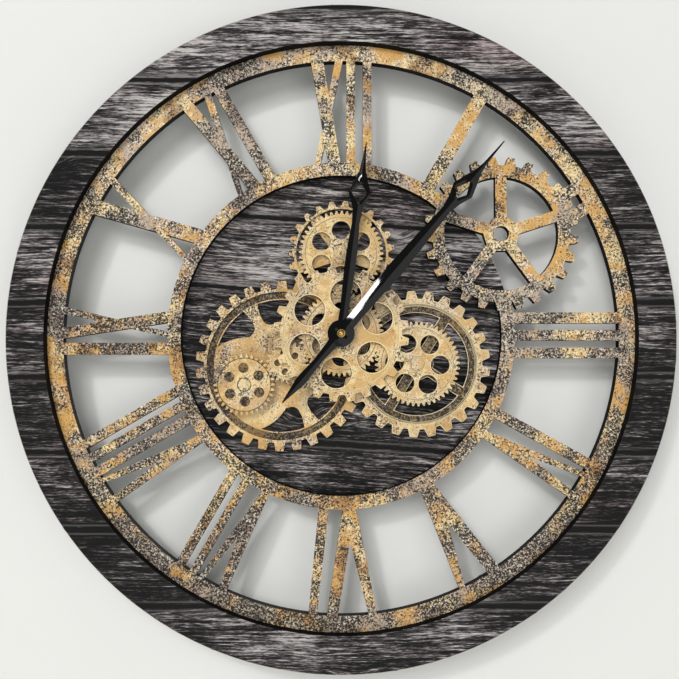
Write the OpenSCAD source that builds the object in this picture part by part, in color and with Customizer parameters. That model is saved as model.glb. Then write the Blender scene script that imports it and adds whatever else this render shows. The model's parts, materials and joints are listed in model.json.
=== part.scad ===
// Round skeleton wall clock: layered boards, cut-out Roman numerals and a turning gear train.
// Every sub-part is drawn flat, with x to the right, y up and z as the height off the wall,
// and is then stood up, so that the clock faces -Y and hangs in the XZ plane with its back at Y = 0.

/* [Boards] */
// Outer radius of the plank-print ring
ring_r = 300; // [290:1:320]
// Inner radius of the plank-print ring
ring_bore_r = 265.5; // [262:0.5:270]
// Thickness of the plank-print ring
ring_t = 9; // [9:0.5:12]
// Outer radius of the numeral plate, hidden behind the ring
plate_r = 285; // [275:1:288]
// Outer radius of the openings between the numerals
opening_r = 251; // [249:0.5:252]
// Outer radius of the inner ring of the plate
inner_ring_r = 157; // [156:0.5:158]
// Inner radius of the inner ring of the plate
inner_ring_bore_r = 145; // [144:0.5:146]
// Thickness of the numeral plate
plate_t = 9; // [8:0.5:10]
// Radius of the centre disc
disc_r = 155; // [152:0.5:155]
// Thickness of the centre disc
disc_t = 6; // [5:0.5:6]

/* [Gear train] */
// Module of the fine teeth
fine_module = 1.53; // [1.5:0.01:1.53]
// Teeth on each of the three large fine wheels
main_teeth = 48; // [48]
// Teeth on the idler wheel
idler_teeth = 23; // [23]
// Teeth on the left wheel
left_teeth = 34; // [34]
// Tooth gap left between meshing fine teeth, along the pitch circle
backlash = 0.3; // [0.2:0.05:0.4]
// Thickness of a gear
gear_t = 4; // [3.6:0.1:4]

/* [Hands] */
// Length of the minute hand from its axis
minute_len = 225; // [215:1:235]
// Length of the hour hand from its axis
hour_len = 173; // [165:1:180]
// Minute hand at rest, degrees clockwise from twelve
minute_angle = 40.3; // [0:0.1:360]
// Hour hand at rest, degrees clockwise from twelve
hour_angle = 7.5; // [0:0.1:360]

/* [Back] */
// Depth of the space between the wall and the centre disc
stand_off = 24; // [24:1:28]
// Half width of the rear case
case_hw = 52; // [50:1:54]
// Lower edge of the rear case, below the hand axis
case_low = 40; // [38:1:44]
// Upper edge of the rear case, above the hand axis
case_high = 104; // [104:1:108]

/* [Hidden] */
$fn = 96;

// Heights off the wall of the faces of each layer
disc_back = stand_off;
disc_front = disc_back + disc_t;
plate_front = disc_front + plate_t;
ring_front = plate_front + ring_t;
bracket_top = disc_front + 4;
ring_wheel_h = disc_front + 5;
fine_h = ring_wheel_h + gear_t + 1;
fine_top = fine_h + gear_t;
front_wheel_h = fine_top + 1.5;
front_wheel_top = front_wheel_h + gear_t;
washer_h = front_wheel_top + 0.3;
nut_h = washer_h + 0.6;
hour_hand_h = nut_h + 2.8;
minute_hand_h = hour_hand_h + 3;
hour_hand_t = 2.2;
minute_hand_t = 2.4;
cap_h = minute_hand_h + minute_hand_t;

// Axes of the gear train: every distance is the sum of two pitch radii
main_r = fine_module * main_teeth / 2;
idler_r = fine_module * idler_teeth / 2;
left_r = fine_module * left_teeth / 2;
right_dir = -21.3;
left_dir = 207.6;
top_axis = [0, 2 * main_r];
right_axis = polar(2 * main_r, right_dir);
idler_axis = polar(main_r + idler_r, left_dir);
left_axis = polar(main_r + 2 * idler_r + left_r, left_dir);
bracket_axis = polar(61.5, 207.3);
bracket_rivet = [-82.8, -12.9];
five_spoke_axis = [172 * sin(57.8), 172 * cos(57.8)];

post_r = 2;
post_bore_r = 2.05;
bush_r = 4;
sleeve_bore_r = 4.06;
sleeve_r = 5.2;

// Phases of the fine teeth, chained so that the train is in mesh at rest
centre_phase = 4.8;
top_phase = mesh_phase(90, main_teeth, centre_phase, main_teeth);
right_phase = mesh_phase(right_dir, main_teeth, centre_phase, main_teeth);
idler_phase = mesh_phase(left_dir, main_teeth, centre_phase, idler_teeth);
left_phase = mesh_phase(left_dir, idler_teeth, idler_phase, left_teeth);

// Motion work inside the movement: 12 into 36, then 12 into 48, on one centre distance
motion_gap = 9;
motion_axis = [0, motion_gap];
knob_axis = [0, 2 * motion_gap];
pinion_teeth = 12;
motion_teeth = 36;
hour_teeth = 48;
minute_module = 2 * motion_gap / (pinion_teeth + motion_teeth);
hour_module = 2 * motion_gap / (pinion_teeth + hour_teeth);
motion_phase = mesh_phase(90, pinion_teeth, 0, motion_teeth);
hour_phase = mesh_phase(270, pinion_teeth, 0, hour_teeth);
knob_phase = mesh_phase(90, motion_teeth, motion_phase, pinion_teeth);

gold = "#d8b673";
plank = "#4b474b";
black = "#141416";
cream = "#e3c88f";
brass = "#b8963f";
steel = "#b9bcc0";
case_black = "#242426";

// ---------- helpers ----------
function polar(r, a) = [r * cos(a), r * sin(a)];

// Phase of gear 2, seen from gear 1 in direction a, that puts a gap of 2 over each tooth of 1
function mesh_phase(a, n1, phase1, n2) =
  a + 180 - (0.5 - (a - phase1) * n1 / 360) * 360 / n2;

function involute(a) = tan(a) * 180 / PI - a;

// Half the angle that an involute tooth fills at radius r
function tooth_half(n, module_, r, gap) =
  let (rp = n * module_ / 2, rb = rp * cos(20))
  90 / n - gap / 4 / rp * 180 / PI + involute(20) - involute(acos(min(1, rb / r)));

// Outline of a gear with involute teeth
function fine_outline(n, module_, phase, gap) =
  let (
    rp = n * module_ / 2,
    radii = [rp - 1.2 * module_, rp - 0.6 * module_, rp, rp + 0.5 * module_, rp + 0.92 * module_],
    half = [for (r = radii) tooth_half(n, module_, r, gap)])
  [for (i = [0:n - 1]) let (a = phase + i * 360 / n)
    each concat(
      [for (k = [0:4]) polar(radii[k], a - half[k])],
      [for (k = [4:-1:0]) polar(radii[k], a + half[k])])];

// Outline of a gear with straight-sided ornamental teeth, w_root and w_tip wide
function coarse_outline(n, r_root, r_tip, w_root, w_tip, phase) =
  let (hr = asin(w_root / 2 / r_root), ht = asin(w_tip / 2 / r_tip))
  [for (i = [0:n - 1]) let (a = phase + i * 360 / n)
    each [polar(r_root, a - hr), polar(r_tip, a - ht), polar(r_tip, a + ht), polar(r_root, a + hr)]];

// Stands a flat drawing up, h off the wall
module place(h) rotate([90, 0, 0]) translate([0, 0, h]) children();

// A flat outline made solid between two heights off the wall
module slab(h0, h1) place(h0) linear_extrude(h1 - h0) children();

module rod(p, r, h0, h1) place(h0) translate([p.x, p.y, 0]) cylinder(h = h1 - h0, r = r);

module block(x0, x1, y0, y1, h0, h1) place(h0) translate([x0, y0, 0]) cube([x1 - x0, y1 - y0, h1 - h0]);

module annulus(r_out, r_in) difference() {
  circle(r_out, $fn = 180);
  circle(r_in, $fn = 180);
}

// A ring groove cut into a face at height h
module groove(p, r_out, r_in, h, depth = 0.6) place(h - depth) translate([p.x, p.y, 0])
  difference() {
    cylinder(h = depth + 1, r = r_out);
    translate([0, 0, -1]) cylinder(h = depth + 3, r = r_in);
  }

// Round through holes on a circle, each with a bevelled mouth at the face at height h1
module hole_ring(p, count, ring, r, phase, h0, h1, bevel = 0.7) for (i = [0:count - 1]) {
  c = [p.x, p.y] + polar(ring, phase + i * 360 / count);
  rod(c, r, h0 - 1, h1 + 1);
  place(h1 - bevel) translate([c.x, c.y, 0]) cylinder(h = bevel + 0.01, r1 = r, r2 = r + bevel + 0.01);
}

// ---------- boards ----------
module outer_ring() color(plank) slab(plate_front, ring_front) annulus(ring_r, ring_bore_r);

module numeral_rim() color(gold) slab(disc_front, plate_front) annulus(plate_r, opening_r);

// The fixed gear with five spokes that stands in the place of the second numeral
five_spoke_root = 62.8;
five_spoke_tip = 70.2;
module five_spoke_gear() translate(five_spoke_axis) difference() {
  union() {
    difference() {
      polygon(coarse_outline(25, five_spoke_root, five_spoke_tip, 9.6, 6, 9.9));
      circle(51.8);
    }
    circle(16.4, $fn = 10);
    for (i = [0:4]) rotate(90 + 72 * i) translate([0, -5.15]) square([54, 10.3]);
  }
  circle(7);
}

// Two legs that tie the five-spoke gear to the rim
module gear_legs() intersection() {
  circle(opening_r, $fn = 180);
  rotate(-60) union() {
    translate([-14, 234]) square([11, 20]);
    translate([6, 232]) square([11, 22]);
  }
}

module dial_gear() color(gold) slab(disc_front, plate_front) {
  five_spoke_gear();
  gear_legs();
}

module inner_ring() color(gold) slab(disc_front, plate_front) difference() {
  annulus(inner_ring_r, inner_ring_bore_r);
  translate(five_spoke_axis) circle(five_spoke_root - 1);
  five_spoke_gear();
}

module centre_disc() color(plank) difference() {
  slab(disc_back, disc_front) circle(disc_r, $fn = 180);
  rod([0, 0], bush_r, disc_back - 1, disc_front + 1);
  rod(top_axis, 4.5, disc_back - 1, disc_front + 1);
  rod(right_axis, post_r, disc_back + 1, disc_front + 1);
  for (p = case_screw_spots) rod(p, 1.5, disc_back - 1, disc_back + 4.6);
}

// ---------- numerals: x is measured clockwise, y outwards, at the numeral's own hour ----------
// A straight stroke from x_in, w_in wide at the inner ring, to x_out, w_out wide at the rim
module stroke(x_out, x_in, w_out, w_in) polygon([
  [x_in - w_in / 2, inner_ring_r - 2], [x_in + w_in / 2, inner_ring_r - 2],
  [x_out + w_out / 2, opening_r + 3], [x_out - w_out / 2, opening_r + 3]]);

module bar(x, w) stroke(x, x, w, w);

// A V whose outer edges are at out and base, with the notch between its strokes
module vee(out, base, notch_out, notch) difference() {
  polygon([[base[0], inner_ring_r - 2], [base[1], inner_ring_r - 2],
    [out[1], opening_r + 3], [out[0], opening_r + 3]]);
  polygon([notch, [notch_out[1], opening_r + 0.5], [notch_out[1], opening_r + 9],
    [notch_out[0], opening_r + 9], [notch_out[0], opening_r + 0.5]]);
}

// An X: the thick stroke runs from the outer left to the inner right, the thin one crosses it
module ex(thick_out, thick_in, thick_w, thin_out, thin_in) {
  stroke(thick_out, thick_in, thick_w, thick_w);
  stroke(thin_out, thin_in, 7, 5);
}

module numeral(hour) color(gold) slab(disc_front, plate_front) intersection() {
  annulus(opening_r, inner_ring_r);
  rotate(-30 * hour) children();
}

module numeral_12() numeral(12) {
  ex(-22.7, -5.8, 11.3, -1.5, -21.3);
  bar(8.8, 7.9);
  bar(23.8, 7.9);
}

module numeral_1() color(gold) slab(disc_front, plate_front) difference() {
  intersection() {
    annulus(opening_r, inner_ring_r);
    rotate(-30) bar(2, 12.6);
  }
  five_spoke_gear();
}

module numeral_3() color(gold) slab(disc_front, plate_front) difference() {
  intersection() {
    annulus(opening_r, inner_ring_r);
    rotate(-90) union() {
      bar(-15, 10);
      bar(0.8, 9.6);
      bar(16.8, 9.6);
    }
  }
  five_spoke_gear();
}

module numeral_4() numeral(4) {
  stroke(-10.2, -8.4, 9.8, 9.4);
  vee([-2.4, 25], [10, 16.8], [2.4, 18], [11, 202]);
}

module numeral_5() numeral(5) vee([-19, 23], [-4.5, 8], [-7, 17], [2, 194]);

module numeral_6() numeral(6) {
  vee([-33, 13], [-13, -1.5], [-25, 3], [-8, 186]);
  stroke(25.8, 15.5, 7.8, 9.2);
}

module numeral_7() numeral(7) {
  vee([-26.4, 2], [-15.6, -9.4], [-19, -3], [-10.6, 204]);
  bar(8, 7.4);
  bar(21.8, 8.4);
}

module numeral_8() numeral(8) {
  vee([-30.4, -4], [-21.8, -15], [-23.6, -8.6], [-17.6, 202]);
  bar(2.4, 9);
  bar(16, 8);
  bar(29.5, 8.6);
}

module numeral_9() numeral(9) {
  bar(-13, 10.8);
  ex(1, 16, 10.2, 22.8, -0.5);
}

module numeral_10() numeral(10) ex(-11.8, 13, 14, 18.2, -11);

module numeral_11() numeral(11) {
  ex(-17.5, -0.3, 11, 4.6, -15.8);
  bar(15.5, 10.2);
}

// ---------- gear train ----------
bracket_window_r = 60;
bracket_hub_r = 38.5;
bracket_corner_r = 7;

// A toothed rim round a lower flange, with a plate of four flared spokes and the seat of the left wheel
module left_bracket() color(cream) difference() {
  union() {
    slab(disc_front, bracket_top) translate(bracket_axis) difference() {
      polygon(coarse_outline(30, 69.9, 77.4, 9.8, 7.2, 5.3));
      circle(67.4);
    }
    slab(disc_front, disc_front + 2) translate(bracket_axis) annulus(67.6, bracket_window_r);
    slab(disc_front, disc_front + 3.4) {
      translate(bracket_axis) difference() {
        circle(bracket_window_r + 1);
        for (i = [0:3]) rotate(28 + 90 * i) bracket_window();
      }
      intersection() {
        translate(left_axis) circle(42.5);
        translate(bracket_axis) circle(bracket_window_r + 1);
      }
    }
    rod(bracket_rivet, 2.6, disc_front + 3, bracket_top + 0.2);
  }
  rod([0, 0], sleeve_r + 1.5, disc_front - 1, bracket_top + 1);
  rod(idler_axis, post_r, disc_front + 0.8, bracket_top + 1);
  rod(left_axis, post_r, disc_front + 0.8, bracket_top + 1);
}

// One window between two spokes along the axes, with rounded corners at the hub and flares at the rim
module bracket_window() union() {
  difference() {
    intersection() {
      circle(bracket_window_r);
      polygon([[37.2, 9.8], [44, 4.6], [50, 4.6], [59.6, 7.2], [70, 7.2], [70, 70], [7.2, 70],
        [7.2, 59.6], [4.6, 50], [4.6, 44], [9.8, 37.2]]);
    }
    circle(bracket_hub_r);
  }
  for (c = [[44, 11.6], [11.6, 44]]) translate(c) circle(bracket_corner_r);
}

module centre_wheel_front() color(cream) difference() {
  slab(front_wheel_h, front_wheel_top)
    polygon(coarse_outline(24, 54.5, 60.6, 8.8, 5.9, 8.4));
  groove([0, 0], 51.7, 50.9, front_wheel_top);
  hole_ring([0, 0], 6, 35, 13.7, 23, front_wheel_h, front_wheel_top, 0.5);
  rod([0, 0], sleeve_r, front_wheel_h - 1, front_wheel_top + 1);
}

// A 48-tooth wheel on axis p: groove inside the teeth, six holes and a bore of radius bore
module main_wheel(p, tooth_phase, hole_phase, bore) color(cream) difference() {
  slab(fine_h, fine_top) translate(p)
    polygon(fine_outline(main_teeth, fine_module, tooth_phase, backlash));
  groove(p, 32.7, 31.9, fine_top);
  groove(p, 6.8, 6, fine_top);
  hole_ring(p, 6, 20.5, 8.3, hole_phase, fine_h, fine_top, 0.6);
  rod(p, bore, fine_h - 1, fine_top + 1);
}

module centre_wheel_rear() main_wheel([0, 0], centre_phase, 30, sleeve_r);

module centre_sleeve() color(brass) difference() {
  rod([0, 0], sleeve_r, disc_front + 0.4, front_wheel_top);
  rod([0, 0], sleeve_bore_r, disc_front - 1, front_wheel_top + 1);
}

module top_wheel() main_wheel(top_axis, top_phase, 30, post_r);

module top_ring_wheel() color(cream) difference() {
  union() {
    slab(ring_wheel_h, ring_wheel_h + gear_t) translate(top_axis) difference() {
      polygon(coarse_outline(23, 42.8, 48.2, 7.8, 3.4, 7));
      circle(40.8);
    }
    slab(ring_wheel_h, ring_wheel_h + 2.4) translate(top_axis) {
      circle(13, $fn = 10);
      for (i = [0:4]) rotate(54 + 72 * i) translate([0, -5.2]) square([41.4, 10.4]);
    }
  }
  rod(top_axis, post_r, ring_wheel_h - 1, ring_wheel_h + gear_t);
}

// The driven axle of the top wheel, with a stepped head
module top_axle() color(cream) {
  rod(top_axis, post_r, 16.5, fine_top);
  rod(top_axis, 4.6, fine_top, fine_top + 1);
  rod(top_axis, 2.8, fine_top + 1, fine_top + 2);
}

module top_bearing() color(brass) difference() {
  union() {
    rod(top_axis, 4.5, disc_back, ring_wheel_h - 0.3);
    rod(top_axis, 6.5, disc_front, disc_front + 1.5);
  }
  rod(top_axis, post_bore_r, disc_back - 1, ring_wheel_h + 1);
}

module right_wheel() main_wheel(right_axis, right_phase, -3, post_bore_r);

module right_ring_wheel() color(cream) difference() {
  union() {
    slab(ring_wheel_h, ring_wheel_h + gear_t) translate(right_axis) difference() {
      polygon(coarse_outline(25, 59, 66.2, 10.6, 6.8, 7.9));
      circle(54.3);
    }
    slab(ring_wheel_h, ring_wheel_h + 0.9) translate(right_axis) annulus(54.5, 52);
    slab(ring_wheel_h, ring_wheel_h + 2.4) translate(right_axis) {
      annulus(52.8, 46.4);
      circle(15.8, $fn = 8);
      for (i = [0:3]) rotate(57.6 + 90 * i) translate([0, -4.7]) square([48, 9.4]);
    }
    rod(right_axis, 6, ring_wheel_h, fine_h);
  }
  rod(right_axis, post_bore_r, ring_wheel_h - 1, fine_h + 1);
}

// A fixed post on axis p: foot in the board at h0, a shoulder up to h1 and a stepped head
module post(p, h0, shoulder_h0, h1, head) color(cream) {
  rod(p, post_r, h0, fine_top + 0.3);
  rod(p, 5, shoulder_h0, h1 - 0.3);
  rod(p, head, fine_top + 0.3, fine_top + 1);
  if (head > 4) rod(p, 2.6, fine_top + 1, fine_top + 2);
}

module right_post() post(right_axis, disc_back + 1, disc_front, ring_wheel_h, 4.6);

module idler_post() post(idler_axis, disc_front + 0.8, disc_front + 3.4, fine_h, 3.6);

module left_post() post(left_axis, disc_front + 0.8, disc_front + 3.4, fine_h, 4.6);

module idler_wheel() color(cream) difference() {
  slab(fine_h, fine_top) translate(idler_axis)
    polygon(fine_outline(idler_teeth, fine_module, idler_phase, backlash));
  groove(idler_axis, 14.2, 13.6, fine_top);
  hole_ring(idler_axis, 5, 8.8, 3.1, 40, fine_h, fine_top, 0.4);
  rod(idler_axis, post_bore_r, fine_h - 1, fine_top + 1);
}

module left_wheel() color(cream) difference() {
  slab(fine_h, fine_top) translate(left_axis)
    polygon(fine_outline(left_teeth, fine_module, left_phase, backlash));
  groove(left_axis, 24.2, 23.4, fine_top);
  groove(left_axis, 6.4, 5.6, fine_top);
  hole_ring(left_axis, 6, 15.1, 4.5, 33, fine_top - 0.6, fine_top, 0.4);
  rod(left_axis, post_bore_r, fine_h - 1, fine_top + 1);
}

// ---------- hands ----------
// A hand that points up: half = [[distance, half width], ...] and a rhombic window
module hand(angle, half, hub_r, window, h, t, bore) color(black) difference() {
  slab(h, h + t) rotate(-angle) difference() {
    union() {
      polygon(concat([for (p = half) [p[1], p[0]]], [for (i = [len(half) - 1:-1:0]) [-half[i][1], half[i][0]]]));
      circle(hub_r);
    }
    polygon([[0, window[0]], [window[3], window[1]], [0, window[2]], [-window[3], window[1]]]);
  }
  rod([0, 0], bore, h - 1, h + t + 1);
}

module hour_hand() hand(hour_angle,
  [[0, 4.6], [24, 3.9], [59.5, 5], [81, 4.6], [99, 3.4], [113, 4.6], [126.7, 10.2], [136.5, 6.4], [146.5, 3],
    [158.5, 1.5], [hour_len, 0.4]],
  10, [116.3, 126.2, 136.5, 6.9], hour_hand_h, hour_hand_t, 2.95);

module minute_hand() hand(minute_angle,
  [[-80, 0.5], [-54.5, 4.7], [-33.5, 3.4], [-16, 4.4], [0, 6], [16, 5.2], [40.5, 5.7], [75, 7.1], [117, 5.3],
    [144.5, 3.9], [156.5, 6.5], [167.3, 10.5], [179, 6.7], [188, 3.4], [198, 1.6], [minute_len, 0.5]],
  12, [157, 165.8, 177.2, 5.5], minute_hand_h, minute_hand_t, 1.5);

module cap_nut() color(brass) difference() {
  union() {
    rod([0, 0], 3.6, cap_h, cap_h + 1.6);
    place(cap_h + 1.6) intersection() {
      translate([0, 0, -1.2]) sphere(r = 3.8);
      cylinder(h = 4, r = 3.6);
    }
  }
  rod([0, 0], 1.5, cap_h - 1, cap_h + 1.6);
}

// ---------- movement ----------
case_half = 28;
movement_back = 8;
works_low = -9;
cell_h = 16;

module movement_bush() color(brass) difference() {
  union() {
    rod([0, 0], bush_r, 20.9, nut_h + 2.2);
    rod([0, 0], 7.5, 20.9, 22);
  }
  rod([0, 0], 3, 20, nut_h + 3);
}

module bush_washer() color(steel) difference() {
  rod([0, 0], 8, washer_h, nut_h);
  rod([0, 0], bush_r, washer_h - 1, nut_h + 1);
}

module bush_nut() color(brass) difference() {
  place(nut_h) cylinder(h = 2, r = 6.9, $fn = 6);
  rod([0, 0], bush_r, nut_h - 1, nut_h + 3);
}

module movement_case() color(case_black) difference() {
  block(-case_half, case_half, -case_half, case_half, movement_back, disc_back);
  block(-26.4, 26.4, works_low + 1.2, 26.4, movement_back - 1, 22);
  block(-26.4, 26.4, -26.4, works_low - 0.2, movement_back - 1, 22.8);
  rod([0, 0], bush_r, 20, disc_back + 1);
}

module movement_cover() color(case_black) difference() {
  union() {
    block(-26.4, 26.4, works_low + 1.2, 26.4, movement_back, movement_back + 1.6);
    rod([0, 0], 3.4, movement_back + 1.6, 13);
  }
  rod([0, 0], 1.56, movement_back + 1.6, 14);
  rod(knob_axis, 1.27, movement_back - 1, movement_back + 3);
  rod(motion_axis, 0.75, movement_back + 0.6, movement_back + 3);
}

// A round cell lying along x or y, with its positive nub
module cell(c, h, along_y, len = 49) place(h) translate([c.x, c.y, 0])
  rotate([0, 90, along_y ? 90 : 0]) translate([0, 0, -len / 2]) union() {
    cylinder(h = len, r = 7);
    translate([0, 0, len]) cylinder(h = 1, r = 2.6);
  }

module movement_cell() color("#2f6f9f") cell([-0.6, -17.9], cell_h - 0.8, false);

module cell_springs() color(steel) for (x = [-26.2, 25.3]) block(x, x + 0.6, -22, -14, 10, 20);

module drive_coil() color("#a8622c") {
  place(13) translate([-19, -4, 0]) rotate([-90, 0, 0]) translate([0, -3, 0]) cylinder(h = 22, r = 3);
  block(-23, -15, -6.6, -4, 11.5, 20);
  block(-23, -15, 18, 20.6, 11.5, 20);
}

module circuit_board() color("#2d5a36") block(11, 25, -6, 20, 20.2, 21.4);

module minute_arbor() color(brass) {
  rod([0, 0], 1.5, movement_back + 2.4, cap_h + 1.6);
  slab(15.6, 18.2) polygon(fine_outline(pinion_teeth, minute_module, 0, 0.12));
}

module hour_wheel() color(brass) difference() {
  union() {
    slab(18.6, 20.6) polygon(fine_outline(hour_teeth, hour_module, hour_phase, 0.12));
    rod([0, 0], 2.95, 18.6, hour_hand_h + hour_hand_t + 0.2);
  }
  rod([0, 0], 1.56, 18, hour_hand_h + 4);
}

module motion_wheel() color("#e8e6df") difference() {
  union() {
    slab(15.9, 17.9) translate(motion_axis)
      polygon(fine_outline(motion_teeth, minute_module, motion_phase, 0.12));
    slab(17.9, 20.7) translate(motion_axis)
      polygon(fine_outline(pinion_teeth, hour_module, 0, 0.12));
  }
  rod(motion_axis, 0.8, 15, 21);
}

module motion_post() color(steel) {
  rod(motion_axis, 0.75, movement_back + 0.6, 21.4);
  rod(motion_axis, 2.2, movement_back + 1.6, 15.6);
}

module setting_knob() color("#2a2a2c") union() {
  rod(knob_axis, 1.2, 7, 18.2);
  slab(15.9, 17.9) translate(knob_axis)
    polygon(fine_outline(pinion_teeth, minute_module, knob_phase, 0.12));
  slab(3.4, 7.4) translate(knob_axis) polygon(coarse_outline(20, 6, 6.7, 1.1, 0.6, 0));
}

// ---------- rear case and gear drive ----------
cell_x = [25.6, 40.4];
cells_y = 73;
door_x = [17.4, 48.6];
door_y = 45;
switch_spot = [-36, 76];
keyhole_y = 94;
cover_screw_spots = [[-45, -33], [45, -33], [-45, 97], [0, 37]];
case_screw_spots = [[-59, -26], [59, -26], [-59, 90], [59, 90]];

module case_outline() translate([-case_hw, -case_low]) square([2 * case_hw, case_low + case_high]);

module rear_case() color(case_black) difference() {
  union() {
    difference() {
      slab(2, disc_back) case_outline();
      block(-case_hw + 2.5, case_hw - 2.5, -case_low + 2.5, case_high - 2.5, 1, disc_back + 1);
    }
    for (p = cover_screw_spots) rod(p, 4, 2, 14);
    block(-case_hw + 2, case_hw - 2, 35.5, 38.5, 2, 14);
    for (s = [-1, 1]) block(s * 47 - 3, s * 47 + 3, -36, -30, 2, 14);
    block(-49.8, -43, 95, 101.8, 2, 14);
    for (p = case_screw_spots) {
      rod(p, 5.5, disc_back - 2.5, disc_back);
      block(min(sign(p.x) * 51, p.x), max(sign(p.x) * 51, p.x), p.y - 5.5, p.y + 5.5, disc_back - 2.5, disc_back);
    }
  }
  for (p = cover_screw_spots) rod(p, 1.25, 1, 12);
  for (p = case_screw_spots) rod(p, 1.5, 20, disc_back + 1);
}

module rear_cover() color(case_black) difference() {
  slab(0, 2) case_outline();
  block(door_x[0], door_x[1], door_y, case_high + 1, -1, 3);
  rod(knob_axis, 9.5, -1, 3);
  block(-27, 27, -26.4, -9.2, -1, 3);
  rod([0, keyhole_y], 6.5, -1, 3);
  block(-6.5, 6.5, keyhole_y, keyhole_y + 6, -1, 3);
  block(switch_spot.x - 6, switch_spot.x + 6, switch_spot.y - 9, switch_spot.y + 9, -1, 3);
  for (p = cover_screw_spots) rod(p, 3.2, -1, 1.2);
  for (p = cover_screw_spots) rod(p, 1.25, 0, 3);
}

// The door slides up; four grooves in its face are the finger grip
module battery_door() color("#2b2b2e") difference() {
  block(door_x[0] + 0.3, door_x[1] - 0.3, door_y + 0.3, case_high, 0, 1.8);
  for (i = [0:3]) block(26, 40, 90 + 2.4 * i, 91 + 2.4 * i, -1, 0.6);
}

module gear_motor() color("#9c9fa3") difference() {
  union() {
    rod(top_axis, 14.5, 5, 18);
    rod(top_axis, 6, 18, 22);
    block(-19, 19, top_axis.y - 5, top_axis.y + 5, 17, disc_back);
  }
  rod(top_axis, post_bore_r, 16, disc_back + 1);
}

// A sliding button on its fixed body
module slide_switch() color("#1c1c1e")
  block(switch_spot.x - 2.5, switch_spot.x + 2.5, switch_spot.y - 5.5, switch_spot.y + 0.5, 0.4, 4.2);

module drive_cells() color("#2f6f9f") for (x = cell_x) cell([x, cells_y], 12, true);

module drive_contacts() color(steel) {
  for (x = cell_x) for (y = [cells_y - 25.4, cells_y + 25.6]) block(x - 4, x + 4, y, y + 0.6, 7, 17);
  difference() {
    block(switch_spot.x - 5.6, switch_spot.x + 5.6, switch_spot.y - 8.6, switch_spot.y + 8.6, 4.6, 9);
    block(switch_spot.x - 4, switch_spot.x + 4, switch_spot.y - 7, switch_spot.y + 7, 3, 5.6);
  }
}

module hanger_plate() color(steel) difference() {
  block(-16, 16, 84, case_high - 2.5, 2, 3.5);
  rod([0, keyhole_y - 1], 4.5, 1, 5);
  block(-2.2, 2.2, keyhole_y - 1, keyhole_y + 4, 1, 5);
  rod([0, keyhole_y + 4], 2.2, 1, 5);
}

pad_spots = [[134, -232], [-134, -232]];
module wall_pads() color("#3a3a3c") for (p = pad_spots) rod(p, 9, 0, disc_front);

module screw(p, head_r, head_h0, head_h1, shank_r, shank_h0, shank_h1) {
  rod(p, head_r, head_h0, head_h1);
  rod(p, shank_r, shank_h0, shank_h1);
}

module cover_screws() color(steel) for (p = cover_screw_spots) screw(p, 3, 0.2, 1.2, 1.25, 1.2, 11.5);

module case_screws() color(steel) for (p = case_screw_spots)
  screw(p, 3, disc_back - 4.3, disc_back - 2.5, 1.5, disc_back - 2.5, disc_back + 4.4);

outer_ring();
numeral_rim();
inner_ring();
dial_gear();
numeral_12();
numeral_1();
numeral_3();
numeral_4();
numeral_5();
numeral_6();
numeral_7();
numeral_8();
numeral_9();
numeral_10();
numeral_11();
centre_disc();
left_bracket();
centre_wheel_front();
centre_wheel_rear();
centre_sleeve();
top_wheel();
top_ring_wheel();
top_axle();
top_bearing();
right_wheel();
right_ring_wheel();
right_post();
idler_wheel();
idler_post();
left_wheel();
left_post();
hour_hand();
minute_hand();
cap_nut();
movement_bush();
bush_washer();
bush_nut();
movement_case();
movement_cover();
movement_cell();
cell_springs();
drive_coil();
circuit_board();
minute_arbor();
hour_wheel();
motion_wheel();
motion_post();
setting_knob();
rear_case();
rear_cover();
battery_door();
gear_motor();
slide_switch();
drive_cells();
drive_contacts();
hanger_plate();
wall_pads();
cover_screws();
case_screws();
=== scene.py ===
"""Round skeleton wall clock: finished boards, gears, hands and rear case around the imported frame.

The clock faces -Y and hangs in the XZ plane, with its back at Y = 0. The pieces' sizes are millimetres,
and heights are taken off the wall. The finishes' patterns, the lamps and the camera are in metres.
"""
import json
import math

import bmesh
import bpy
import numpy as np
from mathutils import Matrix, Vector
from mathutils.geometry import delaunay_2d_cdt

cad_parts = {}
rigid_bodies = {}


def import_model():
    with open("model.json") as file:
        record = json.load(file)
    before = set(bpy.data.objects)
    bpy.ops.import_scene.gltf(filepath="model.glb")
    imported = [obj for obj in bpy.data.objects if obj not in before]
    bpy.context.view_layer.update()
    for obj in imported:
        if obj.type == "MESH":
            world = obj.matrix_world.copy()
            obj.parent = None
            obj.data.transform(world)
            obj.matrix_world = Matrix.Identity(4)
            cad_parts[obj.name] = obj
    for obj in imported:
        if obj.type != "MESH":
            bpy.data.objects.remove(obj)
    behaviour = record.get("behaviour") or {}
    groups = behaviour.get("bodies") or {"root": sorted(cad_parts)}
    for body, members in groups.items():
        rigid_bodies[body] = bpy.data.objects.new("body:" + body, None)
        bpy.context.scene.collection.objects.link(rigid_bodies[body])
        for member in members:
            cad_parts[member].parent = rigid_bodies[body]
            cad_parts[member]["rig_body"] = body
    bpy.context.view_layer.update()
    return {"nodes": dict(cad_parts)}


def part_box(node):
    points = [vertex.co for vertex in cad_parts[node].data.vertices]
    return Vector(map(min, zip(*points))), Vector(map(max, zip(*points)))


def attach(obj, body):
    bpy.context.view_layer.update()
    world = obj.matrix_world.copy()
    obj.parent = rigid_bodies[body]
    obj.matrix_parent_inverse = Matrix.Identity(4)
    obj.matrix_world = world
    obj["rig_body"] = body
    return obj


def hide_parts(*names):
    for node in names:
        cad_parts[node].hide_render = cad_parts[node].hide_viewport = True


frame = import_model()

MM = 0.001
TURN = 2 * math.pi
WELD = 1e-6  # metres between vertices that are one
FLAT_DEG = 0.3  # neighbouring faces that differ less are joined


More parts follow.
